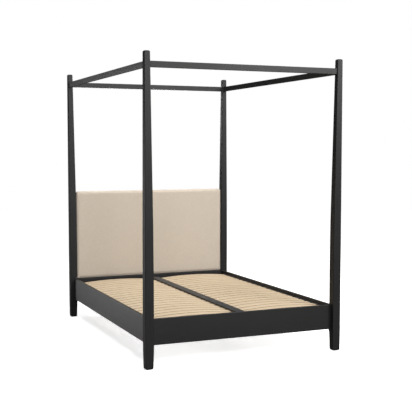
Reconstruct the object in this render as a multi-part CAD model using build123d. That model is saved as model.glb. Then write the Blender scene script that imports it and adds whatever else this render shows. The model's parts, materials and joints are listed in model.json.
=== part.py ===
from build123d import *
import os
from math import asin, cos, degrees, radians, sin, sqrt

# Four poster bed with an upholstered headboard and a sprung slat base for a 1350 x 1900 mattress.
# Millimetres. X runs across the bed, +Y points to the head end, +Z is up.
# The origin is on the floor, under the centre of the four posts.

# ---------------------------------------------------------------- driving dimensions
mattress_width = 1350
mattress_length = 1900
gap_beside_mattress = 10        # each side
gap_at_mattress_ends = 17.5     # each end

post_height = 2100
post_size = 60                  # square section beside the bed rails
post_taper_start = 590
post_taper_mid = (945, 57.7)    # height and section where the taper steepens
post_top_size = 40
post_corner = 4                 # radius along the posts' vertical edges
post_top_round = 10
post_round_steps = 6
leg_top = 137                   # the leg's taper starts under the rails' coves
leg_outer_set = 1.5             # how far the leg's outer faces stand in at the floor
leg_inner_set = 4
leg_floor_chamfer = 5
glide_thickness = 3
glide_size = 34
glide_corner = 3

rail_bottom = 155
rail_top = 333
rail_thickness = 22
rail_cove = 18                  # concave quarter round where a rail's underside meets a leg
rail_edge_round = 2.5

canopy_bottom = 1992
canopy_height = 42
canopy_thickness = 20
canopy_set_in = 10              # from the posts' outer faces

pad_gap = 0.5                   # between the pad and the head rail below it
pad_top = 1095
pad_front_set = 6               # from the head posts' foot-facing faces
pad_corner = 22
pad_edge_round = 7
pad_foam = 34
pad_wrap = 4
board_thickness = 12
back_cloth_thickness = 1

slat_rows = 20
slat_pitch = 90.5
slat_rows_set = 15              # the rows' middle, from the bed's middle towards the foot
slat_width = 63
slat_thickness = 8
slat_bow = 18
slat_end_underside = 299
slat_edge_round = 2.5
support_top = 283               # top of the ledgers and of the centre beam
ledger_width = 36
ledger_height = 45
beam_width = 60
beam_height = 50
holder_width = 70               # along the bed
holder_pocket = 14              # how deep a slat's end sits in its holder
holder_edge_round = 3
holder_peg_radius = 5
holder_peg_depth = 14
side_holder_top = 312
side_holder_depth = 18
twin_holder_top = 322
twin_holder_width = 85          # along the bed, so that they stand almost end to end
twin_holder_half = 33.5         # across the bed

leg_block = 50                  # centre support leg, square
leg_block_bottom = 26
plate_thickness = 3
foot_disc_radius = 20
foot_disc_thickness = 8
foot_stem_radius = 4
foot_stem_top = 60
foot_retract = 15
insert_radius = 6
insert_length = 22

running_gap = 0.1               # round pieces in their holes, all round
slat_gap = 0.3                  # slats in their holders, all round
screw_radius = 2
screw_head_radius = 4
screw_head_depth = 2.3
screw_tip_radius = 0.4
screw_socket = 1.6              # hexagon socket, radius and depth
seat_gap = 0.05                 # a screw's head in its plate, all round

# ---------------------------------------------------------------- places worked out from them
inner_x = mattress_width / 2 + gap_beside_mattress
inner_y = mattress_length / 2 + gap_at_mattress_ends
outer_x = inner_x + post_size
outer_y = inner_y + post_size
rail_mid = (rail_bottom + rail_top) / 2
rail_line = post_size - rail_thickness / 2      # rail centre line, from a post's outer face
pad_bottom = rail_top + pad_gap
pad_front = inner_y + pad_front_set
board_front = pad_front + pad_foam
board_back = board_front + board_thickness
holder_back = inner_x - 1                       # a side holder's outer face, clear of the side rail
slat_ends = (twin_holder_half - holder_pocket, holder_back - side_holder_depth + holder_pocket)
slat_ys = [(row - (slat_rows - 1) / 2) * slat_pitch - slat_rows_set for row in range(slat_rows)]
corners = {
    "foot_left": (-1, -1),
    "foot_right": (1, -1),
    "head_left": (-1, 1),
    "head_right": (1, 1),
}

parts = {}


# ---------------------------------------------------------------- helpers
def block(x, y, z):
    """A box from three (low, high) pairs."""
    size = [high - low for low, high in (x, y, z)]
    middle = [(high + low) / 2 for low, high in (x, y, z)]
    return Pos(*middle) * Box(*size)


def mirrored(shape, side_x, side_y):
    """Carries a shape made at the foot-left corner to the corner on the given sides."""
    if side_x > 0:
        shape = mirror(shape, about=Plane.YZ)
    if side_y > 0:
        shape = mirror(shape, about=Plane.XZ)
    return shape


def all_corners(shape):
    return [mirrored(shape, *sides) for sides in corners.values()]


def cylinder_along(start, direction, radius, length):
    """A cylinder from start along an axis direction."""
    plane = Plane(origin=start, z_dir=direction)
    return plane * Cylinder(radius, length, align=(Align.CENTER, Align.CENTER, Align.MIN))


def screw(start, direction, length, slack=0.0):
    """A countersunk wood screw with its head flush at start; slack widens it into its own hole."""
    plane = Plane(origin=start, z_dir=direction)
    low = (Align.CENTER, Align.CENTER, Align.MIN)
    tip = 2 * screw_radius
    head = Cone(screw_head_radius + slack, screw_radius + slack, screw_head_depth, align=low)
    shank = Cylinder(screw_radius + slack, length - tip, align=low)
    point = Cone(screw_radius + slack, screw_tip_radius + slack, tip + slack, align=low)
    point = Pos(0, 0, length - tip) * point
    socket = extrude(RegularPolygon(screw_socket, 6), screw_socket)
    body = head + shank + point
    return plane * (body if slack else body - socket)


def cut_all(shape, tools):
    for tool in tools:
        shape = shape - tool
    return shape


# ---------------------------------------------------------------- posts
def post_stations():
    """(height, outer edge, inner edge) of the square section, upwards from the glide."""
    foot_inner = post_size - leg_inner_set
    stations = [
        (glide_thickness, leg_outer_set + leg_floor_chamfer, foot_inner - leg_floor_chamfer),
        (glide_thickness + leg_floor_chamfer, leg_outer_set, foot_inner),
        (leg_top, 0, post_size),
        (post_taper_start, 0, post_size),
        (post_taper_mid[0], 0, post_taper_mid[1]),
    ]
    slope = (post_taper_mid[1] - post_top_size) / (post_height - post_taper_mid[0])
    for step in range(post_round_steps + 1):
        angle = radians(90 * step / post_round_steps)
        height = post_height - post_top_round * (1 - sin(angle))
        inward = post_top_round * (1 - cos(angle))
        stations.append((height, inward, post_top_size + slope * (post_height - height) - inward))
    return stations


def make_post():
    sections = []
    for height, low, high in post_stations():
        centre = (low + high) / 2
        section = RectangleRounded(high - low, high - low, min(post_corner, (high - low) / 4))
        sections.append(Pos(centre, centre, height) * section)
    return Pos(-outer_x, -outer_y, 0) * loft(sections, ruled=True)


# ---------------------------------------------------------------- rail ends: hook plates and sockets
hook_plate_half = 55
hook_plate_width = 16
hook_plate_thickness = 2.5
hook_spacing = 28
hook_thickness = 4
hook_half_height = 10
hook_neck = 8
hook_reach = 4
hook_gap = 0.3                  # hooks in their sockets
hook_drop = 2.5                 # spare height that lets a hook in from above
hook_hollow = 1                 # free space round a hook inside the post
hook_screw_height = 48
plate_stagger = 14              # side and end plates sit at different heights in one post
rail_screw_length = 30
post_screw_length = 26


def hook_plate():
    """Plate let into a rail's end; +X runs into the rail and the joint face is at x = 0."""
    half = hook_plate_width / 2
    plate = block((0, hook_plate_thickness), (-half, half), (-hook_plate_half, hook_plate_half))
    neck_length = hook_plate_thickness + hook_gap
    cheek = (-hook_thickness / 2, hook_thickness / 2)
    for z in (-hook_spacing, hook_spacing):
        top = z + hook_half_height
        plate += block((-neck_length, 0), cheek, (top - hook_neck, top))
        plate += block((-neck_length - hook_reach, -neck_length), cheek, (z - hook_half_height, top))
    return cut_all(plate, [rail_screw(z, seat_gap) for z in (-hook_screw_height, hook_screw_height)])


def slot_span(z):
    """Height range of the socket slot that takes the hook centred at z."""
    top = z + hook_half_height
    return top - hook_neck - hook_gap, top + hook_half_height + hook_drop


def socket_plate():
    """Plate let into a post's face, with a slot for each hook."""
    half = hook_plate_width / 2
    plate = block((-hook_plate_thickness, 0), (-half, half), (-hook_plate_half, hook_plate_half))
    slot_half = hook_thickness / 2 + hook_gap
    for z in (-hook_spacing, hook_spacing):
        plate -= block((-hook_plate_thickness, 0), (-slot_half, slot_half), slot_span(z))
    return cut_all(plate, [post_screw(z, seat_gap) for z in (-hook_screw_height, hook_screw_height)])


def rail_screw(z, slack=0.0):
    return screw((0, 0, z), (1, 0, 0), rail_screw_length, slack)


def post_screw(z, slack=0.0):
    return screw((0, 0, z), (-1, 0, 0), post_screw_length, slack)


def rail_end_cuts():
    half = hook_plate_width / 2
    recess = block((0, hook_plate_thickness), (-half, half), (-hook_plate_half, hook_plate_half))
    return [recess] + [rail_screw(z, running_gap) for z in (-hook_screw_height, hook_screw_height)]


def post_face_cuts():
    half = hook_plate_width / 2
    recess = block((-hook_plate_thickness, 0), (-half, half), (-hook_plate_half, hook_plate_half))
    cuts = [recess] + [post_screw(z, running_gap) for z in (-hook_screw_height, hook_screw_height)]
    depth = hook_plate_thickness + hook_gap + hook_reach + hook_hollow
    half_slot = hook_thickness / 2 + hook_hollow
    for z in (-hook_spacing, hook_spacing):
        high = slot_span(z)[1]
        low = z - hook_half_height - hook_hollow
        cuts.append(block((-depth, -hook_plate_thickness), (-half_slot, half_slot), (low, high)))
    return cuts


# Both joints of the foot-left post: the end rail on its +X face, the side rail on its +Y face.
end_joint = Location((-outer_x + post_size, -outer_y + rail_line, rail_mid + plate_stagger))
side_joint = Location((-outer_x + rail_line, -outer_y + post_size, rail_mid - plate_stagger), (0, 0, 90))


def add_rail_fasteners():
    screws = [rail_screw(z) for z in (-hook_screw_height, hook_screw_height)]
    screws += [post_screw(z) for z in (-hook_screw_height, hook_screw_height)]
    hooks, sockets, fixings = [], [], []
    for joint in (end_joint, side_joint):
        hooks += all_corners(joint * hook_plate())
        sockets += all_corners(joint * socket_plate())
        for one in screws:
            fixings += all_corners(joint * one)
    parts["rail_hook_plates"] = hooks
    parts["post_socket_plates"] = sockets
    parts["fastener_plate_screws"] = fixings


# ---------------------------------------------------------------- bed rails
def rail_board(length):
    """A rail along +X from the origin, with a cove under each end, centred on y = 0."""
    bottom = rail_bottom - rail_cove
    diagonal = rail_cove * (1 - sqrt(0.5))
    outline = Polyline((length, bottom), (length, rail_top), (0, rail_top), (0, bottom))
    outline += ThreePointArc((0, bottom), (diagonal, rail_bottom - diagonal), (rail_cove, rail_bottom))
    outline += Line((rail_cove, rail_bottom), (length - rail_cove, rail_bottom))
    outline += ThreePointArc(
        (length - rail_cove, rail_bottom), (length - diagonal, rail_bottom - diagonal), (length, bottom)
    )
    board = extrude(Plane.XZ * make_face(outline), rail_thickness / 2, both=True)
    top_edges = board.edges().filter_by(Axis.X).group_by(Axis.Z)[-1]
    return fillet(top_edges, rail_edge_round)


def add_rails(posts_to_cut):
    end_cuts = [end_joint * tool for tool in rail_end_cuts()]
    side_cuts = [side_joint * tool for tool in rail_end_cuts()]
    foot = Pos(-inner_x, -outer_y + rail_line, 0) * rail_board(2 * inner_x)
    left = Location((-outer_x + rail_line, -inner_y, 0), (0, 0, 90)) * rail_board(2 * inner_y)
    for tool in end_cuts:
        foot = foot - tool - mirror(tool, about=Plane.YZ)
    for tool in side_cuts:
        left = left - tool - mirror(tool, about=Plane.XZ)
    parts["foot_rail"] = [foot]
    parts["head_rail"] = [mirror(foot, about=Plane.XZ)]
    parts["left_side_rail"] = [left]
    parts["right_side_rail"] = [mirror(left, about=Plane.YZ)]
    tools = [end_joint * tool for tool in post_face_cuts()]
    tools += [side_joint * tool for tool in post_face_cuts()]
    return cut_all(posts_to_cut, tools)


# ---------------------------------------------------------------- canopy
dowel_radius = 4
dowel_half = 18
dowel_height = canopy_bottom + 30
pin_radius = 3
pin_height = canopy_bottom + 8
pin_in_post = 16
cam_socket_radius = 2.5
cam_socket_depth = 3
canopy_bite = 4                 # how far a rail's blank runs into the post before it is cut to fit
cam_radius = 7.5
cam_height = 14
cam_distance = 28               # from the rail's end to the cam's centre
canopy_line = canopy_set_in + canopy_thickness / 2
post_at_canopy = post_top_size + 1.3            # the taper has widened the post by this much there


def canopy_end(slack=0.0):
    """Dowel, cam pin and cam lock at one rail end; +X runs into the rail from the post's face."""
    dowel = cylinder_along((-dowel_half - slack, 0, dowel_height), (1, 0, 0), dowel_radius + slack,
                           2 * (dowel_half + slack))
    pin = cylinder_along((-pin_in_post - slack, 0, pin_height), (1, 0, 0), pin_radius + slack,
                         pin_in_post + cam_distance + 2 * slack)
    cam = cylinder_along((cam_distance, 0, canopy_bottom), (0, 0, 1), cam_radius + slack, cam_height + slack)
    return dowel, pin, cam


end_canopy = Location((-outer_x + post_at_canopy, -outer_y + canopy_line, 0))
side_canopy = Location((-outer_x + canopy_line, -outer_y + post_at_canopy, 0), (0, 0, 90))


def add_canopy(post):
    """Makes the four canopy rails and their fixings, and returns the post with its holes."""
    dowels, pins, cams = [], [], []
    dowel, pin, cam = canopy_end()
    cam = cam - canopy_end(running_gap)[1]
    key_hole = extrude(RegularPolygon(cam_socket_radius, 6), cam_socket_depth)
    cam = cam - Pos(cam_distance, 0, canopy_bottom) * key_hole
    hole_tools = canopy_end(running_gap)
    for joint in (end_canopy, side_canopy):
        dowels += all_corners(joint * dowel)
        pins += all_corners(joint * pin)
        cams += all_corners(joint * cam)
    parts["canopy_dowels"] = dowels
    parts["canopy_cam_pins"] = pins
    parts["canopy_cam_locks"] = cams

    z_span = (canopy_bottom, canopy_bottom + canopy_height)
    end_reach = outer_x - post_top_size + canopy_bite
    side_reach = outer_y - post_top_size + canopy_bite
    y_foot = (-outer_y + canopy_set_in, -outer_y + canopy_set_in + canopy_thickness)
    x_left = (-outer_x + canopy_set_in, -outer_x + canopy_set_in + canopy_thickness)
    foot = block((-end_reach, end_reach), y_foot, z_span)
    foot = fillet(foot.edges().filter_by(Axis.X), rail_edge_round)
    left = block(x_left, (-side_reach, side_reach), z_span)
    left = fillet(left.edges().filter_by(Axis.Y), rail_edge_round)
    for tool in [post] + [end_canopy * one for one in hole_tools]:
        foot = foot - tool - mirror(tool, about=Plane.YZ)
    for tool in [post] + [side_canopy * one for one in hole_tools]:
        left = left - tool - mirror(tool, about=Plane.XZ)
    parts["canopy_foot_rail"] = [foot]
    parts["canopy_head_rail"] = [mirror(foot, about=Plane.XZ)]
    parts["canopy_left_rail"] = [left]
    parts["canopy_right_rail"] = [mirror(left, about=Plane.YZ)]
    for joint in (end_canopy, side_canopy):
        post = cut_all(post, [joint * one for one in hole_tools[:2]])
    return post


# ---------------------------------------------------------------- headboard
board_inset = pad_wrap + 0.2    # the board stands just clear of the cover around it
board_corner = pad_corner - pad_wrap
back_cloth_inset = 8            # from the pad's edges
pad_half = inner_x - 0.5
headboard_dowel_heights = (430, 715, 1000)
headboard_dowel_length = 64
headboard_dowel_in_board = 38
batten_height = 30
batten_thickness = 20
batten_half = inner_x - 1
batten_screw_length = 36
batten_screw_xs = [-480, -160, 160, 480]


def rounded_panel(half_width, z_low, z_high, y_low, y_high, corner):
    face = Pos(0, (z_low + z_high) / 2) * RectangleRounded(2 * half_width, z_high - z_low, corner)
    return Pos(0, y_high, 0) * extrude(Plane.XZ * face, y_high - y_low)


def headboard_dowel(height, slack=0.0):
    start = -(pad_half - board_inset - headboard_dowel_in_board) + slack
    y = (board_front + board_back) / 2
    return cylinder_along((start, y, height), (-1, 0, 0), dowel_radius + slack,
                          headboard_dowel_length + 2 * slack)


def add_headboard():
    board_low, board_high = pad_bottom + board_inset, pad_top - board_inset
    board = rounded_panel(pad_half - board_inset, board_low, board_high,
                          board_front, board_back, board_corner)
    cavity = rounded_panel(pad_half - pad_wrap, pad_bottom + pad_wrap, pad_top - pad_wrap,
                           board_front, board_back + 1, board_corner)
    pad = rounded_panel(pad_half, pad_bottom, pad_top, pad_front, board_back, pad_corner)
    front_edges = pad.faces().sort_by(Axis.Y)[0].edges()
    pad = fillet(front_edges, pad_edge_round) - cavity
    cloth_low, cloth_high = pad_bottom + back_cloth_inset, pad_top - back_cloth_inset
    cloth = rounded_panel(pad_half - back_cloth_inset, cloth_low, cloth_high,
                          board_back, board_back + back_cloth_thickness, pad_corner - back_cloth_inset)
    dowels = []
    for height in headboard_dowel_heights:
        hole = headboard_dowel(height, running_gap)
        board = board - hole - mirror(hole, about=Plane.YZ)
        pad = pad - hole - mirror(hole, about=Plane.YZ)
        dowels += [headboard_dowel(height), mirror(headboard_dowel(height), about=Plane.YZ)]
    rail_back = inner_y + rail_thickness
    batten = block((-batten_half, batten_half), (rail_back, rail_back + batten_thickness),
                   (rail_top - batten_height, rail_top))
    parts["headboard_board"] = [board]
    parts["headboard_pad"] = [pad]
    parts["headboard_back_cloth"] = [cloth]
    parts["headboard_dowels"] = dowels
    for x in batten_screw_xs:
        batten -= batten_screw(x, running_gap)
        parts["head_rail"][0] -= batten_screw(x, running_gap)
    parts["headboard_batten"] = [batten]


def batten_screw(x, slack=0.0):
    start = (x, inner_y + rail_thickness + batten_thickness, rail_top - batten_height / 2)
    return screw(start, (0, -1, 0), batten_screw_length, slack)


# ---------------------------------------------------------------- slat base
def bowed_slat(y, slack=0.0):
    """One slat of the right-hand column: a rounded strip bent to an upward arc between its holders."""
    chord = slat_ends[1] - slat_ends[0]
    middle_x = (slat_ends[0] + slat_ends[1]) / 2
    radius = chord**2 / (8 * slat_bow) + slat_bow / 2
    centre_z = slat_end_underside + slat_bow - radius
    half_angle = degrees(asin(chord / 2 / radius) + slack / radius)
    strip = RectangleRounded(slat_width + 2 * slack, slat_thickness + 2 * slack, slat_edge_round + slack)
    crown = (middle_x, y, centre_z + radius + slat_thickness / 2)
    section = Plane(crown, x_dir=(0, 1, 0), z_dir=(1, 0, 0)) * strip
    axis = Axis((middle_x, y, centre_z), (0, 1, 0))
    return revolve(section, axis, 2 * half_angle).rotate(axis, -half_angle)


def holder_cap(x_span, width, top):
    """The moulded block of a slat holder, with the round peg that plugs into the wood below it."""
    cap = block(x_span, (-width / 2, width / 2), (support_top, top))
    cap = fillet(cap.edges().group_by(Axis.Z)[-1], holder_edge_round)
    peg_base = (sum(x_span) / 2, 0, support_top - holder_peg_depth)
    return cap + cylinder_along(peg_base, (0, 0, 1), holder_peg_radius, holder_peg_depth + 1)


def side_holder():
    cap = holder_cap((holder_back - side_holder_depth, holder_back), holder_width, side_holder_top)
    return cap - bowed_slat(0, slat_gap)


def twin_holder():
    cap = holder_cap((-twin_holder_half, twin_holder_half), twin_holder_width, twin_holder_top)
    pocket = bowed_slat(0, slat_gap)
    return cap - pocket - mirror(pocket, about=Plane.YZ)


def peg_hole(x, y):
    depth = holder_peg_depth + running_gap
    return cylinder_along((x, y, support_top - depth), (0, 0, 1), holder_peg_radius + running_gap, depth)


ledger_half_length = inner_y - 6
ledger_screw_ys = [-900 + 300 * step for step in range(7)]
ledger_screw_length = 50
ledger_screw_height = support_top - ledger_height / 2 - 8
hanger_plate = 2.5
hanger_reach = 40
hanger_half = 50
hanger_low = support_top - beam_height - hanger_plate
hanger_cheek_top = support_top - 8
beam_end_gap = 0.5           # between the beam's end and the hanger plate
hanger_screw_x = 42
hanger_screw_inset = 12         # from the hanger plate's top and bottom


def ledger_screw(y, slack=0.0):
    start = (inner_x - ledger_width, y, ledger_screw_height)
    return screw(start, (1, 0, 0), ledger_screw_length, slack)


def add_slats():
    slat, side, twin = bowed_slat(0), side_holder(), twin_holder()
    side_holders, twin_holders = [], []
    peg_x = holder_back - side_holder_depth / 2
    ledger = block((inner_x - ledger_width, inner_x), (-ledger_half_length, ledger_half_length),
                   (support_top - ledger_height, support_top))
    beam_half = inner_y - hanger_plate - beam_end_gap
    beam = block((-beam_width / 2, beam_width / 2), (-beam_half, beam_half),
                 (support_top - beam_height, support_top))
    for row, y in enumerate(slat_ys, start=1):
        placed = Pos(0, y, 0) * slat
        parts[f"slat_row_{row:02d}"] = [placed, mirror(placed, about=Plane.YZ)]
        one_side = Pos(0, y, 0) * side
        side_holders += [one_side, mirror(one_side, about=Plane.YZ)]
        twin_holders.append(Pos(0, y, 0) * twin)
        ledger -= peg_hole(peg_x, y)
        beam -= peg_hole(0, y)
    screws = []
    for y in ledger_screw_ys:
        hole = ledger_screw(y, running_gap)
        ledger -= hole
        parts["right_side_rail"][0] -= hole
        parts["left_side_rail"][0] -= mirror(hole, about=Plane.YZ)
        screws += [ledger_screw(y), mirror(ledger_screw(y), about=Plane.YZ)]
    screws += [batten_screw(x) for x in batten_screw_xs]
    parts["right_slat_ledger"] = [ledger]
    parts["left_slat_ledger"] = [mirror(ledger, about=Plane.YZ)]
    parts["side_slat_holders"] = side_holders
    parts["centre_slat_holders"] = twin_holders
    parts["batten_screws"] = screws
    return beam


# ---------------------------------------------------------------- centre beam, its hangers and leg
bracket_screw_length = 18
plate_half = (30, 45)
plate_screw_at = (20, 36)
plate_stud_depth = 30
leg_block_chamfer = 2
stem_gap = 0.3                  # the foot's stem in its insert
bore_gap = 1                    # the stem in the leg's bore
bore_spare = 4                  # bore left above the stem when the foot is right up
stem_chamfer = 1
disc_top_round = 3
disc_bottom_chamfer = 1


def hanger_screw(x, z, slack=0.0):
    return screw((x, -inner_y + hanger_plate, z), (0, -1, 0), bracket_screw_length, slack)


def plate_screw(x, y, slack=0.0):
    bottom = support_top - beam_height - plate_thickness
    return screw((x, y, bottom), (0, 0, 1), bracket_screw_length, slack)


def add_centre(beam):
    cheek = beam_width / 2
    y_span = (-inner_y, -inner_y + hanger_reach)
    hanger = block((-hanger_half, hanger_half), (-inner_y, -inner_y + hanger_plate),
                   (hanger_low, support_top))
    hanger += block((-cheek - hanger_plate, cheek + hanger_plate), y_span,
                    (hanger_low, hanger_low + hanger_plate))
    for side in (-1, 1):
        x_span = sorted((side * cheek, side * (cheek + hanger_plate)))
        hanger += block(x_span, y_span, (hanger_low, hanger_cheek_top))
    screws = []
    for x in (-hanger_screw_x, hanger_screw_x):
        for z in (hanger_low + hanger_screw_inset, support_top - hanger_screw_inset):
            hanger -= hanger_screw(x, z, seat_gap)
            hole = hanger_screw(x, z, running_gap)
            parts["foot_rail"][0] -= hole
            parts["head_rail"][0] -= mirror(hole, about=Plane.XZ)
            screws += [hanger_screw(x, z), mirror(hanger_screw(x, z), about=Plane.XZ)]
    parts["centre_beam_hangers"] = [hanger, mirror(hanger, about=Plane.XZ)]

    beam_low = support_top - beam_height
    plate_low = beam_low - plate_thickness
    plate = block((-plate_half[0], plate_half[0]), (-plate_half[1], plate_half[1]), (plate_low, beam_low))
    plate += cylinder_along((0, 0, plate_low - plate_stud_depth), (0, 0, 1), foot_stem_radius,
                            plate_stud_depth + 1)
    for x in (-plate_screw_at[0], plate_screw_at[0]):
        for y in (-plate_screw_at[1], plate_screw_at[1]):
            plate -= plate_screw(x, y, seat_gap)
            beam -= plate_screw(x, y, running_gap)
            screws.append(plate_screw(x, y))
    parts["centre_beam"] = [beam]
    parts["centre_leg_plate"] = [plate]
    parts["bracket_screws"] = screws

    half = leg_block / 2
    leg = block((-half, half), (-half, half), (leg_block_bottom, plate_low))
    leg = fillet(leg.edges().filter_by(Axis.Z), post_corner)
    leg = chamfer(leg.edges().group_by(Axis.Z)[0], leg_block_chamfer)
    stud_hole = plate_stud_depth + running_gap
    leg -= cylinder_along((0, 0, plate_low - stud_hole), (0, 0, 1), foot_stem_radius + running_gap, stud_hole)
    leg -= cylinder_along((0, 0, leg_block_bottom), (0, 0, 1), insert_radius + running_gap, insert_length)
    bore_top = foot_stem_top + foot_retract + bore_spare
    bore_length = bore_top - leg_block_bottom
    leg -= cylinder_along((0, 0, leg_block_bottom), (0, 0, 1), foot_stem_radius + bore_gap, bore_length)
    parts["centre_leg"] = [leg]

    insert = cylinder_along((0, 0, leg_block_bottom), (0, 0, 1), insert_radius, insert_length)
    insert -= cylinder_along((0, 0, leg_block_bottom), (0, 0, 1), foot_stem_radius + stem_gap, insert_length)
    parts["centre_leg_insert"] = [insert]

    disc = cylinder_along((0, 0, 0), (0, 0, 1), foot_disc_radius, foot_disc_thickness)
    disc = fillet(disc.edges().group_by(Axis.Z)[-1], disc_top_round)
    disc = chamfer(disc.edges().group_by(Axis.Z)[0], disc_bottom_chamfer)
    stem_low = foot_disc_thickness / 2
    stem = cylinder_along((0, 0, stem_low), (0, 0, 1), foot_stem_radius, foot_stem_top - stem_low)
    stem = chamfer(stem.edges().group_by(Axis.Z)[-1], stem_chamfer)
    parts["levelling_foot"] = [disc + stem]


# ---------------------------------------------------------------- posts and glides, last
def add_posts(post):
    middle = (leg_outer_set + post_size - leg_inner_set) / 2
    glide_face = RectangleRounded(glide_size, glide_size, glide_corner)
    glide = Pos(-outer_x + middle, -outer_y + middle, 0) * extrude(glide_face, glide_thickness)
    parts["post_glides"] = all_corners(glide)
    for name, sides in corners.items():
        parts[f"{name}_post"] = [mirrored(post, *sides)]
    for name in ("head_left", "head_right"):
        for height in headboard_dowel_heights:
            hole = headboard_dowel(height, running_gap)
            if name == "head_right":
                hole = mirror(hole, about=Plane.YZ)
            parts[f"{name}_post"][0] -= hole


def write_parts():
    os.makedirs("parts", exist_ok=True)
    for name, shapes in parts.items():
        solids = [solid for shape in shapes for solid in shape.solids()]
        shape = solids[0] if len(solids) == 1 else Compound(solids)
        shape.label = name
        export_step(shape, f"parts/{name}.step")
    print(len(parts), "nodes")


post_shape = make_post()
post_shape = add_canopy(post_shape)
post_shape = add_rails(post_shape)
add_rail_fasteners()
add_headboard()
centre_beam = add_slats()
add_centre(centre_beam)
add_posts(post_shape)
write_parts()
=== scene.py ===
import json
from math import cos, pi, radians, tanh

import bmesh
import bpy
from mathutils import Matrix, Vector, noise


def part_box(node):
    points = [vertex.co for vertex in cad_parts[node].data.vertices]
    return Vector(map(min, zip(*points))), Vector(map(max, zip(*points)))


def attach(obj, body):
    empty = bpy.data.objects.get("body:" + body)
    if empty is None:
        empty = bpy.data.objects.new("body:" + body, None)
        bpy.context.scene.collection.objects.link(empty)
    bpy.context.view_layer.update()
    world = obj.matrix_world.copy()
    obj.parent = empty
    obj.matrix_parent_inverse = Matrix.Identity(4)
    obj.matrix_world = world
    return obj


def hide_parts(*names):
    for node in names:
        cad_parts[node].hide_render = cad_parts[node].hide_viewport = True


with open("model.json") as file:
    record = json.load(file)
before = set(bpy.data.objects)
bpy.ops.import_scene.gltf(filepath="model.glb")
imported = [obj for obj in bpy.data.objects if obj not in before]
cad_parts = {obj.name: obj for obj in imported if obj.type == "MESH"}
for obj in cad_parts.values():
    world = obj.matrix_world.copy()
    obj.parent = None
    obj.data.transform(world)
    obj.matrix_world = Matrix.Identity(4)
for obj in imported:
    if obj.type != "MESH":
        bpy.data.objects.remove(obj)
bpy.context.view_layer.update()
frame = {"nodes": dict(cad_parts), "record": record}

MM = 0.001
BED = "bed_frame"

# ---------------------------------------------------------------- camera, lights and surround
CAMERA_AT = Vector((-2.589, -6.405, 1.461))
CAMERA_YAW = 22.94              # degrees to the right of the bed's own length
CAMERA_PITCH = 3.74             # degrees downwards
CAMERA_LENS = 76.1
WORLD_SEEN = 1.0                # strength that the camera sees
WORLD_LIGHTING = 0.035          # strength that lights the bed
FLOOR_RADIUS = 14
FLOOR_SHADOW_REACH = 3.2


def make_camera():
    data = bpy.data.cameras.new("photo_view")
    data.lens = CAMERA_LENS
    data.sensor_width = 36
    camera = bpy.data.objects.new("photo_view", data)
    camera.location = CAMERA_AT
    camera.rotation_euler = (radians(90 - CAMERA_PITCH), 0, radians(-CAMERA_YAW))
    bpy.context.scene.collection.objects.link(camera)
    bpy.context.scene.camera = camera


def area_light(name, at, target, size, watts):
    data = bpy.data.lights.new(name, "AREA")
    data.shape = "RECTANGLE"
    data.size, data.size_y = size
    data.energy = watts
    light = bpy.data.objects.new(name, data)
    light.location = at
    light.rotation_euler = (Vector(target) - Vector(at)).to_track_quat("-Z", "Y").to_euler()
    bpy.context.scene.collection.objects.link(light)
    return light


def light_only(light, objects):
    """Keeps a light to some objects, as a studio does with flags."""
    lit = bpy.data.collections.new(light.name + "_lit")
    for item in objects:
        lit.objects.link(item)
    light.light_linking.receiver_collection = lit


def make_world():
    """A white surround for the camera that lights the bed less than it shows."""
    world = bpy.data.worlds.new("studio")
    world.use_nodes = True
    bpy.context.scene.world = world
    nodes, links = world.node_tree.nodes, world.node_tree.links
    nodes.clear()
    out = nodes.new("ShaderNodeOutputWorld")
    path = nodes.new("ShaderNodeLightPath")
    mix = nodes.new("ShaderNodeMixShader")
    for index, strength in ((1, WORLD_LIGHTING), (2, WORLD_SEEN)):
        background = nodes.new("ShaderNodeBackground")
        background.inputs["Color"].default_value = (1, 1, 1, 1)
        background.inputs["Strength"].default_value = strength
        links.new(background.outputs[0], mix.inputs[index])
    links.new(path.outputs["Is Camera Ray"], mix.inputs[0])
    links.new(mix.outputs[0], out.inputs["Surface"])


def make_floor():
    """A white disc with a painted glow that only the camera sees: weaker near the bed, so that it takes a
    soft shadow there, and stronger further out, so that it fades into the white surround; other rays meet a
    dull grey floor.
    """
    mesh = bpy.data.meshes.new("floor")
    shape = bmesh.new()
    bmesh.ops.create_circle(shape, cap_ends=True, segments=96, radius=FLOOR_RADIUS)
    shape.to_mesh(mesh)
    shape.free()
    floor = bpy.data.objects.new("floor", mesh)
    bpy.context.scene.collection.objects.link(floor)
    material, shader, tree = new_material("floor_white")
    n = Nodes(tree)
    shader.inputs["Base Color"].default_value = (0.9, 0.9, 0.9, 1)
    shader.inputs["Roughness"].default_value = 0.9
    shader.inputs["Specular IOR Level"].default_value = 0.1
    gradient = n.add("TexGradient", gradient_type="SPHERICAL")
    n.link(n.coordinates((1 / FLOOR_RADIUS, 1 / FLOOR_RADIUS, 1)), gradient.inputs["Vector"])
    near = 1 - FLOOR_SHADOW_REACH / FLOOR_RADIUS
    # painted glow: weaker within the shadow reach of the bed, rising to full white further out
    glow = n.ramp(gradient.outputs["Fac"], [(0.3, 1.0), (near, 0.62), (1.0, 0.55)])
    bright = n.add("Emission")
    n.link(glow, bright.inputs["Color"])
    both = n.add("AddShader")
    n.link(shader.outputs[0], both.inputs[0])
    n.link(bright.outputs[0], both.inputs[1])
    dull = n.add("BsdfDiffuse")
    dull.inputs["Color"].default_value = (0.22, 0.22, 0.22, 1)
    path = n.add("LightPath")
    mix = n.add("MixShader")
    n.link(path.outputs["Is Camera Ray"], mix.inputs[0])
    n.link(dull.outputs[0], mix.inputs[1])
    n.link(both.outputs[0], mix.inputs[2])
    n.link(mix.outputs[0], tree.nodes["Material Output"].inputs["Surface"])
    mesh.materials.append(material)


# ---------------------------------------------------------------- node helpers
def new_material(name):
    material = bpy.data.materials.new(name)
    material.use_nodes = True
    tree = material.node_tree
    shader = tree.nodes["Principled BSDF"]
    return material, shader, tree


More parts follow.
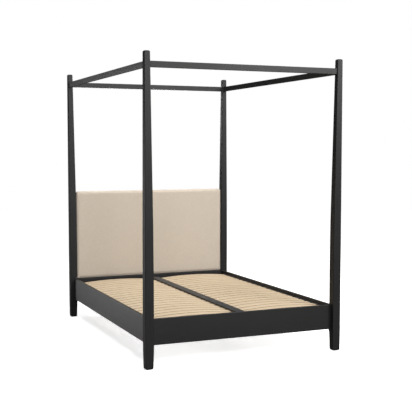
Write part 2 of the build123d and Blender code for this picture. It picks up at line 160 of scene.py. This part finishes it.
class Nodes:
    """Short calls for building a material's node tree."""

    def __init__(self, tree):
        self.tree = tree

    def add(self, kind, **values):
        node = self.tree.nodes.new("ShaderNode" + kind)
        for name, value in values.items():
            setattr(node, name, value)
        return node

    def link(self, source, target):
        self.tree.links.new(source, target)

    def coordinates(self, scale=(1, 1, 1)):
        where = self.add("TexCoord")
        mapping = self.add("Mapping")
        mapping.inputs["Scale"].default_value = scale
        self.link(where.outputs["Object"], mapping.inputs["Vector"])
        return mapping.outputs["Vector"]

    def noise(self, vector, scale, detail=4.0, roughness=0.5, distortion=0.0):
        node = self.add("TexNoise")
        node.inputs["Scale"].default_value = scale
        node.inputs["Detail"].default_value = detail
        node.inputs["Roughness"].default_value = roughness
        node.inputs["Distortion"].default_value = distortion
        self.link(vector, node.inputs["Vector"])
        return node.outputs["Fac"]

    def ramp(self, fac, stops):
        node = self.add("ValToRGB")
        elements = node.color_ramp.elements
        while len(elements) > 1:
            elements.remove(elements[-1])
        elements[0].position, elements[0].color = stops[0][0], colour4(stops[0][1])
        for position, colour in stops[1:]:
            elements.new(position).color = colour4(colour)
        self.link(fac, node.inputs["Fac"])
        return node.outputs["Color"]

    def math(self, operation, a, b=None):
        node = self.add("Math", operation=operation)
        for index, value in enumerate((a, b)):
            if value is None:
                continue
            if isinstance(value, (int, float)):
                node.inputs[index].default_value = value
            else:
                self.link(value, node.inputs[index])
        return node.outputs[0]

    def mix(self, fac, a, b):
        node = self.add("Mix", data_type="RGBA")
        for socket, value in ((node.inputs["Factor"], fac), (node.inputs[6], a), (node.inputs[7], b)):
            if isinstance(value, (int, float)):
                socket.default_value = value
            elif isinstance(value, tuple):
                socket.default_value = colour4(value)
            else:
                self.link(value, socket)
        return node.outputs[2]

    def bump(self, height, strength, distance, normal=None):
        node = self.add("Bump")
        node.inputs["Strength"].default_value = strength
        node.inputs["Distance"].default_value = distance
        self.link(height, node.inputs["Height"])
        if normal is not None:
            self.link(normal, node.inputs["Normal"])
        return node.outputs["Normal"]


def colour4(value):
    if isinstance(value, (int, float)):
        return (value, value, value, 1)
    return (*value, 1) if len(value) == 3 else value


# ---------------------------------------------------------------- materials
slat_low, slat_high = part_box("slat_row_01")
holder_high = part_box("centre_slat_holders")[1]
SLAT_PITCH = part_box("slat_row_02")[0][1] - slat_low[1]
SLAT_WIDTH = slat_high[1] - slat_low[1]
SLAT_START = slat_low[1] - (SLAT_PITCH - SLAT_WIDTH) / 2        # middle of the gap before row 1
HOLDER_POCKET = 14 * MM
SLAT_INNER = holder_high[0] - HOLDER_POCKET     # where a slat ends in its centre holder
SLAT_MIDDLE = (slat_high[0] + SLAT_INNER) / 2
SLAT_HALF = (slat_high[0] - SLAT_INNER) / 2
SLAT_BOW = 18 * MM
PLY_THICKNESS = 1.6 * MM
GRAIN_DEPTH = 0.6 * MM          # bump distances
FIBRE_DEPTH = 0.5 * MM
FINE_DEPTH = 0.3 * MM
SPECK_DEPTH = 0.2 * MM
LINEN_THREADS = 300             # texture scales
LINEN_SLUBS = 480


def black_paint(axis):
    """Satin black lacquer over hardwood whose grain runs along the axis and still shows a little."""
    material, shader, tree = new_material(f"black_paint_{axis}")
    n = Nodes(tree)
    along = {"x": (1.5, 40, 40), "y": (40, 1.5, 40), "z": (40, 40, 1.5)}[axis]
    grain = n.noise(n.coordinates(along), 6, 6, 0.62, 0.4)
    broad = n.noise(n.coordinates(), 3, 3)
    speck = n.noise(n.coordinates(), 900, 2)
    tone = n.ramp(grain, [(0.3, (0.008, 0.008, 0.008)), (0.7, (0.013, 0.013, 0.013))])
    tone = n.mix(n.math("MULTIPLY", broad, 0.35), tone, (0.016, 0.0155, 0.016))
    bevelled = n.add("NewGeometry").outputs["Pointiness"]
    wear = n.ramp(bevelled, [(0.53, 0.0), (0.60, 0.25)])
    tone = n.mix(wear, tone, (0.035, 0.033, 0.032))
    n.link(tone, shader.inputs["Base Color"])
    rough = n.ramp(n.math("ADD", n.math("MULTIPLY", grain, 0.6), n.math("MULTIPLY", broad, 0.4)),
                   [(0.3, 0.40), (0.7, 0.52)])
    n.link(rough, shader.inputs["Roughness"])
    shader.inputs["Specular IOR Level"].default_value = 0.25
    normal = n.bump(speck, 0.05, SPECK_DEPTH)
    n.link(n.bump(grain, 0.08, GRAIN_DEPTH, normal), shader.inputs["Normal"])
    return material


def birch():
    """Lacquered birch slats: grain along X, a tone for each slat, and glue lines on their edges."""
    material, shader, tree = new_material("birch")
    n = Nodes(tree)
    where = n.add("SeparateXYZ")
    n.link(n.coordinates(), where.inputs[0])
    x, y, z = where.outputs
    row = n.math("FLOOR", n.math("DIVIDE", n.math("SUBTRACT", y, SLAT_START), SLAT_PITCH))
    one = n.add("CombineXYZ")
    n.link(row, one.inputs["X"])
    n.link(n.math("SIGN", x), one.inputs["Y"])
    dice = n.add("TexWhiteNoise", noise_dimensions="3D")
    n.link(one.outputs[0], dice.inputs["Vector"])
    shifted = n.add("VectorMath", operation="ADD")
    n.link(n.coordinates((1.2, 28, 28)), shifted.inputs[0])
    n.link(dice.outputs["Color"], shifted.inputs[1])
    grain = n.noise(shifted.outputs[0], 7, 8, 0.6, 0.7)
    flecks = n.noise(n.coordinates((8, 260, 260)), 4, 4, 0.55)
    tone = n.ramp(grain, [
        (0.25, (0.43, 0.325, 0.21)),
        (0.5, (0.49, 0.385, 0.26)),
        (0.75, (0.545, 0.44, 0.31)),
    ])
    tone = n.mix(n.ramp(flecks, [(0.55, 0.0), (0.75, 0.35)]), tone, (0.40, 0.28, 0.17))
    tone = n.mix(n.math("MULTIPLY", dice.outputs["Value"], 0.30), tone, (0.57, 0.45, 0.32))
    reach = n.math("DIVIDE", n.math("SUBTRACT", n.math("ABSOLUTE", x), SLAT_MIDDLE), SLAT_HALF)
    level = n.math("ADD", z, n.math("MULTIPLY", n.math("MULTIPLY", reach, reach), SLAT_BOW))
    ply = n.math("FRACT", n.math("DIVIDE", level, PLY_THICKNESS))
    glue = n.ramp(ply, [(0.0, 1.0), (0.16, 0.0), (0.84, 0.0), (1.0, 1.0)])
    facing = n.add("SeparateXYZ")
    n.link(n.add("NewGeometry").outputs["Normal"], facing.inputs[0])
    on_edge = n.ramp(n.math("ABSOLUTE", facing.outputs["Y"]), [(0.5, 0.0), (0.7, 0.85)])
    tone = n.mix(n.math("MULTIPLY", glue, on_edge), tone, (0.17, 0.095, 0.045))
    n.link(tone, shader.inputs["Base Color"])
    n.link(n.ramp(grain, [(0.3, 0.42), (0.7, 0.55)]), shader.inputs["Roughness"])
    shader.inputs["Specular IOR Level"].default_value = 0.35
    n.link(n.bump(grain, 0.15, GRAIN_DEPTH), shader.inputs["Normal"])
    return material


def linen():
    """Plain-woven linen: crossing threads about a millimetre apart, with thick and thin yarns."""
    material, shader, tree = new_material("linen")
    n = Nodes(tree)
    where = n.coordinates()
    drift = n.noise(n.coordinates(), 12, 2)
    threads = []
    for direction, stretch in (("X", (1, 1, 0.06)), ("Z", (0.06, 1, 1))):
        wave = n.add("TexWave", wave_type="BANDS", bands_direction=direction, wave_profile="SIN")
        wave.inputs["Scale"].default_value = LINEN_THREADS
        wave.inputs["Distortion"].default_value = 0.8
        wave.inputs["Detail"].default_value = 2
        wave.inputs["Detail Scale"].default_value = 1.2
        n.link(where, wave.inputs["Vector"])
        slub = n.noise(n.coordinates(stretch), LINEN_SLUBS, 3, 0.6)
        threads.append((wave.outputs["Fac"], slub))
    weave = n.math("MULTIPLY", threads[0][0], threads[1][0])
    slubs = n.math("ADD", n.math("MULTIPLY", threads[0][1], 0.5), n.math("MULTIPLY", threads[1][1], 0.5))
    tone = n.ramp(slubs, [
        (0.3, (0.485, 0.415, 0.335)),
        (0.5, (0.55, 0.48, 0.395)),
        (0.72, (0.615, 0.55, 0.465)),
    ])
    tone = n.mix(n.ramp(weave, [(0.0, 0.28), (0.5, 0.0)]), tone, (0.40, 0.33, 0.27))
    tone = n.mix(n.ramp(drift, [(0.35, 0.0), (0.65, 0.08)]), tone, (0.62, 0.54, 0.45))
    n.link(tone, shader.inputs["Base Color"])
    shader.inputs["Roughness"].default_value = 0.95
    shader.inputs["Sheen Weight"].default_value = 0.25
    shader.inputs["Sheen Roughness"].default_value = 0.5
    shader.inputs["Specular IOR Level"].default_value = 0.2
    height = n.math("ADD", weave, n.math("MULTIPLY", slubs, 0.8))
    n.link(n.bump(height, 0.3, FIBRE_DEPTH), shader.inputs["Normal"])
    return material


def moulded_plastic():
    material, shader, tree = new_material("black_plastic")
    n = Nodes(tree)
    fine = n.noise(n.coordinates(), 1400, 3, 0.6)
    patch = n.noise(n.coordinates(), 60, 2)
    n.link(n.ramp(patch, [(0.3, (0.012, 0.012, 0.013)), (0.7, (0.020, 0.020, 0.021))]),
           shader.inputs["Base Color"])
    n.link(n.ramp(fine, [(0.3, 0.42), (0.7, 0.58)]), shader.inputs["Roughness"])
    n.link(n.bump(fine, 0.25, FINE_DEPTH), shader.inputs["Normal"])
    return material


def metal(name, colour, rough_low, rough_high):
    material, shader, tree = new_material(name)
    n = Nodes(tree)
    streaks = n.noise(n.coordinates(), 90, 4, 0.6)
    dark = tuple(0.75 * part for part in colour)
    n.link(n.ramp(streaks, [(0.3, dark), (0.7, colour)]), shader.inputs["Base Color"])
    n.link(n.ramp(streaks, [(0.3, rough_high), (0.7, rough_low)]), shader.inputs["Roughness"])
    shader.inputs["Metallic"].default_value = 1.0
    n.link(n.bump(streaks, 0.08, FINE_DEPTH), shader.inputs["Normal"])
    return material


def raw_wood(name, dark, light, stretch):
    material, shader, tree = new_material(name)
    n = Nodes(tree)
    grain = n.noise(n.coordinates(stretch), 8, 7, 0.6, 0.8)
    n.link(n.ramp(grain, [(0.3, dark), (0.7, light)]), shader.inputs["Base Color"])
    shader.inputs["Roughness"].default_value = 0.75
    n.link(n.bump(grain, 0.2, GRAIN_DEPTH), shader.inputs["Normal"])
    return material


def woven_cloth(name, dark, light, spacing):
    material, shader, tree = new_material(name)
    n = Nodes(tree)
    fibres = n.noise(n.coordinates(), spacing, 5, 0.7)
    blotch = n.noise(n.coordinates(), spacing / 12, 2)
    n.link(n.ramp(n.math("MULTIPLY", n.math("ADD", fibres, blotch), 0.5), [(0.35, dark), (0.65, light)]),
           shader.inputs["Base Color"])
    shader.inputs["Roughness"].default_value = 0.95
    shader.inputs["Sheen Weight"].default_value = 0.2
    n.link(n.bump(fibres, 0.5, FIBRE_DEPTH), shader.inputs["Normal"])
    return material


def paint_cad_nodes():
    paints = {axis: black_paint(axis) for axis in "xyz"}
    axis_of = {
        "foot_rail": "x", "head_rail": "x", "canopy_foot_rail": "x", "canopy_head_rail": "x",
        "headboard_batten": "x", "left_side_rail": "y", "right_side_rail": "y", "canopy_left_rail": "y",
        "canopy_right_rail": "y", "centre_beam": "y", "left_slat_ledger": "y", "right_slat_ledger": "y",
    }
    by_slot = {
        "birch": birch(),
        "linen": linen(),
        "black_plastic": moulded_plastic(),
        "zinc_steel": metal("zinc_steel", (0.60, 0.60, 0.57), 0.28, 0.42),
        "brass": metal("brass", (0.72, 0.55, 0.25), 0.25, 0.4),
        "plywood": raw_wood("plywood", (0.45, 0.31, 0.18), (0.66, 0.50, 0.32), (1.5, 30, 30)),
        "beech": raw_wood("beech", (0.50, 0.35, 0.21), (0.66, 0.50, 0.33), (2, 40, 40)),
        "back_cloth": woven_cloth("back_cloth", (0.010, 0.010, 0.010), (0.035, 0.035, 0.036), 700),
        "felt": woven_cloth("felt", (0.06, 0.055, 0.05), (0.12, 0.11, 0.10), 900),
    }
    for row in frame["record"]["subparts"]:
        node = frame["nodes"][row["node"]]
        slot = row["material_slot"]
        if slot == "black_paint":
            material = paints[axis_of.get(row["node"], "z")]
        else:
            material = by_slot[slot]
        node.data.materials.clear()
        node.data.materials.append(material)
    return by_slot


# ---------------------------------------------------------------- headboard upholstery
pad_low, pad_high = (Vector(corner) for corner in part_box("headboard_pad"))
board_low, board_high = (Vector(corner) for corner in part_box("headboard_board"))
PAD_SIDE_SLACK = 0.5 * MM       # the cover starts this far inside the CAD outline
PAD_FRONT_SLACK = 3.5 * MM      # room for the front to swell
PAD_BACK_LAP = 0.5 * MM         # linen lies this far behind the board
PAD_TOP_CORNER = 21 * MM
PAD_FOOT_CORNER = 5 * MM        # sharper, so that no light shows beside the head rail
PAD_EDGE = 6 * MM
PAD_VOXEL = 6 * MM
PAD_PRESSURE = 4.0
PAD_FRAMES = 20
PAD_CROWN = 1.2 * MM            # a little more in the middle, over the whole panel
PAD_UNEVEN = 0.5 * MM
PAD_CAP = 3 * MM                # how far the front may swell
PAD_SIDE_CAP = 0.6 * MM


def new_piece(name, shape, material):
    """Turns a bmesh into a piece on the bed frame."""
    mesh = bpy.data.meshes.new(name)
    shape.to_mesh(mesh)
    shape.free()
    mesh.materials.append(material)
    mesh.shade_smooth()
    piece = bpy.data.objects.new(name, mesh)
    bpy.context.scene.collection.objects.link(piece)
    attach(piece, BED)
    return piece


def panel_blank():
    """The headboard pad before it swells: a slab with rounded corners and a soft front edge."""
    low = Vector((pad_low.x + PAD_SIDE_SLACK, pad_low.y + PAD_FRONT_SLACK, pad_low.z + PAD_SIDE_SLACK))
    high = Vector((pad_high.x - PAD_SIDE_SLACK, board_high.y + PAD_BACK_LAP, pad_high.z - PAD_SIDE_SLACK))
    middle, size = (low + high) / 2, high - low
    shape = bmesh.new()
    bmesh.ops.create_cube(shape, size=1, matrix=Matrix.Translation(middle) @ Matrix.Diagonal((*size, 1)))
    for top, corner in ((True, PAD_TOP_CORNER), (False, PAD_FOOT_CORNER)):
        through = [e for e in shape.edges if abs(e.verts[0].co.y - e.verts[1].co.y) > size.y / 2]
        outer = [e for e in through if min(size.x / 2 - abs(v.co.x) for v in e.verts) < MM / 10]
        chosen = [e for e in outer if (e.verts[0].co.z > middle.z) == top]
        bmesh.ops.bevel(shape, geom=chosen, offset=corner, segments=8, affect="EDGES", profile=0.5)
    rim = [e for e in shape.edges if all(v.co.y < low.y + MM for v in e.verts)]
    bmesh.ops.bevel(shape, geom=rim, offset=PAD_EDGE, segments=4, affect="EDGES", profile=0.5)
    return shape


def remeshed(piece, voxel):
    """Replaces the piece's mesh by an even quad mesh of the same shape."""
    modifier = piece.modifiers.new("even", "REMESH")
    modifier.mode = "VOXEL"
    modifier.voxel_size = voxel
    apply_modifiers(piece)


def apply_modifiers(piece):
    graph = bpy.context.evaluated_depsgraph_get()
    mesh = bpy.data.meshes.new_from_object(piece.evaluated_get(graph))
    piece.modifiers.clear()
    piece.data = mesh


def swell(piece, held):
    """Blows the piece up as cloth, with the held points fixed, and returns where its points go."""
    group = piece.vertex_groups.new(name="held")
    group.add(held, 1.0, "REPLACE")
    modifier = piece.modifiers.new("swell", "CLOTH")
    cloth = modifier.settings
    cloth.quality = 3
    cloth.mass = 0.3
    cloth.tension_stiffness = cloth.compression_stiffness = 25
    cloth.shear_stiffness = 12
    cloth.bending_stiffness = 2
    cloth.use_pressure = True
    cloth.uniform_pressure_force = PAD_PRESSURE
    cloth.vertex_group_mass = "held"
    cloth.effector_weights.gravity = 0
    modifier.collision_settings.use_collision = False
    modifier.point_cache.frame_start, modifier.point_cache.frame_end = 1, PAD_FRAMES
    scene = bpy.context.scene
    for number in range(1, PAD_FRAMES + 1):
        scene.frame_set(number)
    graph = bpy.context.evaluated_depsgraph_get()
    places = [point.co.copy() for point in piece.evaluated_get(graph).data.vertices]
    piece.modifiers.clear()
    scene.frame_set(1)
    return places


def make_headboard_pad(material):
    piece = new_piece("headboard_upholstery", panel_blank(), material)
    remeshed(piece, PAD_VOXEL)
    points = piece.data.vertices
    held = [point.index for point in points if point.co.y > board_low.y]
    caps = (PAD_SIDE_CAP, PAD_CAP, PAD_SIDE_CAP)
    for point, place in zip(points, swell(piece, held)):
        moves = place - point.co
        point.co += Vector([cap * tanh(move / cap) for move, cap in zip(moves, caps)])
    half_width, half_height = pad_high.x, (pad_high.z - pad_low.z) / 2
    middle_z = (pad_high.z + pad_low.z) / 2
    for point in points:
        if point.co.y < board_low.y - 2 * MM:
            across, up = abs(point.co.x) / half_width, abs(point.co.z - middle_z) / half_height
            crown = (1 - across**4) * (1 - up**4)
            uneven = noise.noise(Vector((point.co.x * 9, 3.1, point.co.z * 9)))
            point.co.y += PAD_UNEVEN * uneven - PAD_CROWN * crown
    smooth = piece.modifiers.new("smooth", "SMOOTH")
    smooth.factor, smooth.iterations = 0.5, 2
    finer = piece.modifiers.new("finer", "SUBSURF")
    finer.levels = finer.render_levels = 1
    apply_modifiers(piece)
    piece.data.shade_smooth()
    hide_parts("headboard_pad")


# ---------------------------------------------------------------- dust cloth and staples behind the headboard
cloth_low, cloth_high = (Vector(corner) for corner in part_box("headboard_back_cloth"))
CLOTH_THICKNESS = 0.5 * MM
CLOTH_LIFT = 0.7 * MM           # off the board, over the linen's lap
CLOTH_CELL = 9 * MM
CLOTH_HEM = 13 * MM             # turned under all round
STAPLE_SPACING = 46 * MM
STAPLE_INSET = 7 * MM
STAPLE_LENGTH = 11 * MM
STAPLE_WIRE = 1.1 * MM
HEM_LIFT = 0.7 * MM
PUCKER_LIFT = 1.3 * MM
PUCKER_REACH = 28 * MM
SAG = 0.9 * MM
SAG_REACH = 90 * MM


def staple_places():
    """(x, z, angle) of each staple round the cloth's edge."""
    places = []
    spans = (
        (cloth_low.x, cloth_high.x, 0.0, (cloth_low.z + STAPLE_INSET, cloth_high.z - STAPLE_INSET)),
        (cloth_low.z, cloth_high.z, pi / 2, (cloth_low.x + STAPLE_INSET, cloth_high.x - STAPLE_INSET)),
    )
    for low, high, angle, lines in spans:
        count = round((high - low) / STAPLE_SPACING)
        for step in range(count):
            along = low + (step + 0.5) * (high - low) / count
            for line in lines:
                x, z = (along, line) if angle == 0.0 else (line, along)
                tilt = 0.12 * noise.noise(Vector((x * 90, 1.7, z * 90)))
                places.append((x, z, angle + tilt))
    return places


def cloth_height(x, z):
    """How far the dust cloth stands off the board: a doubled hem, puckers at the staples and a slight sag."""
    from_side = min(x - cloth_low.x, cloth_high.x - x)
    from_end = min(z - cloth_low.z, cloth_high.z - z)
    edge = min(from_side, from_end)
    along = x if from_end < from_side else z
    start = cloth_low.x if from_end < from_side else cloth_low.z
    hem = HEM_LIFT / (1 + (edge / CLOTH_HEM) ** 8)
    between = abs(cos(pi * (along - start) / STAPLE_SPACING)) ** 1.5
    pucker = PUCKER_LIFT * between * (1 - tanh(edge / PUCKER_REACH)) * tanh(edge / (4 * MM))
    sag = SAG * (1 + noise.noise(Vector((x * 5, 0.4, z * 5)))) * tanh(edge / SAG_REACH)
    return hem + pucker + sag


def make_dust_cloth(material, wire):
    shape = bmesh.new()
    columns = round((cloth_high.x - cloth_low.x) / CLOTH_CELL)
    rows = round((cloth_high.z - cloth_low.z) / CLOTH_CELL)
    base = board_high.y + CLOTH_LIFT
    grid = []
    for row in range(rows + 1):
        z = cloth_low.z + (cloth_high.z - cloth_low.z) * row / rows
        line = []
        for column in range(columns + 1):
            x = cloth_low.x + (cloth_high.x - cloth_low.x) * column / columns
            line.append(shape.verts.new((x, base + cloth_height(x, z), z)))
        grid.append(line)
    for below, above in zip(grid, grid[1:]):
        for index in range(columns):
            shape.faces.new((below[index + 1], below[index], above[index], above[index + 1]))
    cloth = new_piece("headboard_dust_cloth", shape, material)
    thick = cloth.modifiers.new("thick", "SOLIDIFY")
    thick.thickness, thick.offset = CLOTH_THICKNESS, 1
    apply_modifiers(cloth)
    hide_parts("headboard_back_cloth")

    wires = bmesh.new()
    for x, z, angle in staple_places():
        y = base + cloth_height(x, z) + CLOTH_THICKNESS + 0.3 * STAPLE_WIRE
        bar = bmesh.ops.create_cube(wires, size=1)["verts"]
        size = Matrix.Diagonal((STAPLE_LENGTH, 0.7 * STAPLE_WIRE, STAPLE_WIRE, 1))
        place = Matrix.Translation((x, y, z)) @ Matrix.Rotation(-angle, 4, "Y") @ size
        bmesh.ops.transform(wires, matrix=place, verts=bar)
    bmesh.ops.bevel(wires, geom=wires.edges[:], offset=0.25 * STAPLE_WIRE, segments=2,
                    affect="EDGES", profile=0.5)
    staples = new_piece("dust_cloth_staples", wires, wire)
    return [cloth, staples]


# ---------------------------------------------------------------- studio lights
def add_lights(back_pieces):
    """Four lights for the whole bed, and three kept to the parts whose faces the others leave too dark."""
    nodes = frame["nodes"]
    area_light("front_right_high", at=(2.6, -5.2, 3.2), target=(0.0, 0.0, 1.8), size=(1.6, 1.2), watts=205)
    area_light("front", at=(-0.8, -6.6, 2.5), target=(0.0, 0.6, 0.7), size=(2.0, 2.0), watts=155)
    area_light("overhead", at=(0.0, -0.3, 4.6), target=(0.0, 0.0, 0.0), size=(5.0, 5.0), watts=300)
    area_light("right_side", at=(5.6, 1.2, 2.3), target=(0.0, 0.0, 1.0), size=(2.6, 2.6), watts=170)
    from_left = {"at": (-3.4, 2.6, 0.9), "target": (-0.7, 0.0, 0.6), "size": (2.5, 2.0)}
    left_posts = area_light("left_posts", watts=32, **from_left)
    light_only(left_posts, [nodes["foot_left_post"], nodes["head_left_post"]])
    left_rails = area_light("left_rails", watts=150, **from_left)
    light_only(left_rails, [nodes["left_side_rail"], nodes["canopy_left_rail"]])
    behind = area_light("behind", at=(1.2, 6.2, 2.4), target=(0.0, 0.8, 0.8), size=(2.6, 2.2), watts=330)
    head_end = ("head_left_post", "head_right_post", "head_rail", "headboard_batten", "canopy_head_rail")
    light_only(behind, back_pieces + [nodes[name] for name in head_end])


bpy.context.scene.view_settings.view_transform = "Standard"
make_camera()
make_world()
make_floor()
materials = paint_cad_nodes()
make_headboard_pad(materials["linen"])
add_lights(make_dust_cloth(materials["back_cloth"], materials["zinc_steel"]))
